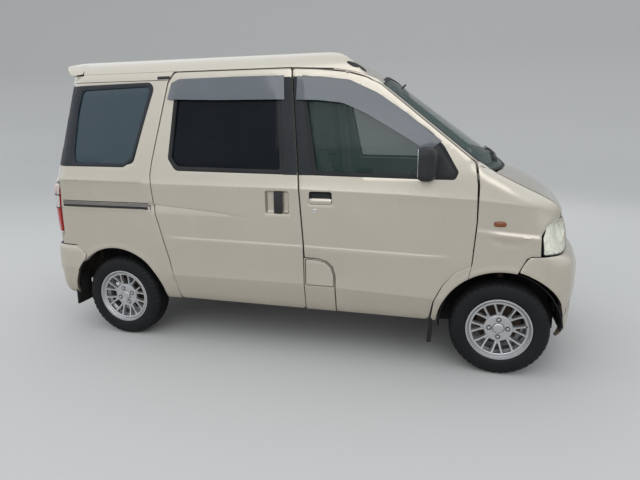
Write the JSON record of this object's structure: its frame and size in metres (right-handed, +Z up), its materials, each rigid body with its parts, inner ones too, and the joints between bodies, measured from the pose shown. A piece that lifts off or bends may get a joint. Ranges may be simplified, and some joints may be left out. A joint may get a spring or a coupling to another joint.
{
  "type": "high-roof kei minivan",
  "caption": "High-roof kei minivan: hollow cab and load space, hinged front doors, bonnet, tailgate and fuel flap, steered front wheels and free-turning road wheels.",
  "frame": {"origin": "on the ground, under the middle of the overall box", "axes": "+X towards the nose, +Y to the car's left, +Z up"},
  "size_m": [3.395, 1.7448, 1.8399],
  "materials": {
    "body_paint": "metallic beige paint",
    "underbody": "black underbody paint",
    "cast_iron": "cast, lightly rusted",
    "lamp_clear": "clear lens, slightly yellowed",
    "lamp_red": "red lens",
    "glass": "dark privacy glass",
    "glass_clear": "green tinted glass",
    "black_plastic": "grained black plastic",
    "seat_cloth": "dark grey woven cloth",
    "tyre": "worn black rubber",
    "alloy": "silver painted alloy"
  },
  "bodies": {
    "body": {"roof": "body_paint", "quarter_panels": "body_paint", "side_frames": "body_paint", "fenders": "body_paint", "nose_panel": "body_paint", "front_bumper": "body_paint", "rear_bumper": "body_paint", "sliding_doors": "body_paint", "front_frame": "body_paint", "floor_pan": "underbody", "chassis_rails": "underbody", "engine": "underbody", "propshaft": "underbody", "rear_axle": "underbody", "front_suspension": "underbody", "exhaust": "underbody", "radiator": "underbody", "fuel_tank": "underbody", "headlamps": "lamp_clear", "tail_lamps": "lamp_red", "windscreen": "glass_clear", "side_windows": "glass", "dashboard": "black_plastic", "mud_flaps": "black_plastic", "front_liners": "black_plastic", "front_seats": "seat_cloth", "rear_seat": "seat_cloth"},
    "front_door_right": {"front_door_right": "body_paint", "front_window_right": "glass_clear", "mirror_right": "black_plastic"},
    "front_door_left": {"front_door_left": "body_paint", "front_window_left": "glass_clear", "mirror_left": "black_plastic"},
    "bonnet": {"bonnet": "body_paint"},
    "tailgate": {"tailgate": "body_paint", "tailgate_window": "glass"},
    "fuel_flap": {"fuel_flap": "body_paint"},
    "steering_wheel": {"steering_wheel": "black_plastic"},
    "front_knuckle_right": {"front_knuckle_right": "cast_iron"},
    "front_knuckle_left": {"front_knuckle_left": "cast_iron"},
    "wheel_front_right": {"tyre_front_right": "tyre", "rim_front_right": "alloy"},
    "wheel_front_left": {"tyre_front_left": "tyre", "rim_front_left": "alloy"},
    "wheel_rear_right": {"tyre_rear_right": "tyre", "rim_rear_right": "alloy"},
    "wheel_rear_left": {"tyre_rear_left": "tyre", "rim_rear_left": "alloy"}
  },
  "joints": [
    {"name": "steer_right", "type": "hinge", "parent": "body", "child": "front_knuckle_right", "pos_m": [1.255, -0.545, 0.187], "axis": [0, 0.1475, 0.9891], "range_deg": [-34, 34]},
    {"name": "steer_left", "type": "hinge", "parent": "body", "child": "front_knuckle_left", "pos_m": [1.255, 0.545, 0.187], "axis": [0, -0.1475, 0.9891], "range_deg": [-34, 34]},
    {"name": "steering_wheel_turn", "type": "hinge", "parent": "body", "child": "steering_wheel", "pos_m": [0.65, -0.33, 1.01], "axis": [-0.788, 0, 0.6157], "range_deg": [-545, 545]},
    {"name": "front_door_right_hinge", "type": "hinge", "parent": "body", "child": "front_door_right", "pos_m": [1.096, -0.7395, 0.75], "axis": [0, 0, 1], "range_deg": [0, 65]},
    {"name": "front_door_left_hinge", "type": "hinge", "parent": "body", "child": "front_door_left", "pos_m": [1.096, 0.7395, 0.75], "axis": [0, 0, -1], "range_deg": [0, 65]},
    {"name": "bonnet_hinge", "type": "hinge", "parent": "body", "child": "bonnet", "pos_m": [1.192, 0, 1.15], "axis": [0, -1, 0], "range_deg": [0, 55]},
    {"name": "tailgate_hinge", "type": "hinge", "parent": "body", "child": "tailgate", "pos_m": [-1.321, 0, 1.83], "axis": [0, 1, 0], "range_deg": [0, 85]},
    {"name": "fuel_flap_hinge", "type": "hinge", "parent": "body", "child": "fuel_flap", "pos_m": [0.16, -0.7375, 0.545], "axis": [0, 0, -1], "range_deg": [0, 95]},
    {"name": "front_right_wheel_spin", "type": "hinge", "parent": "front_knuckle_right", "child": "wheel_front_right", "pos_m": [1.255, -0.617, 0.27], "axis": [0, 1, 0], "continuous": true},
    {"name": "front_left_wheel_spin", "type": "hinge", "parent": "front_knuckle_left", "child": "wheel_front_left", "pos_m": [1.255, 0.617, 0.27], "axis": [0, 1, 0], "continuous": true},
    {"name": "rear_right_wheel_spin", "type": "hinge", "parent": "body", "child": "wheel_rear_right", "pos_m": [-1.145, -0.617, 0.27], "axis": [0, 1, 0], "continuous": true},
    {"name": "rear_left_wheel_spin", "type": "hinge", "parent": "body", "child": "wheel_rear_left", "pos_m": [-1.145, 0.617, 0.27], "axis": [0, 1, 0], "continuous": true}
  ],
  "couplings": [
    {"joint": "steer_left", "follows": "steer_right", "ratio": 1},
    {"joint": "steering_wheel_turn", "follows": "steer_right", "ratio": 16}
  ]
}
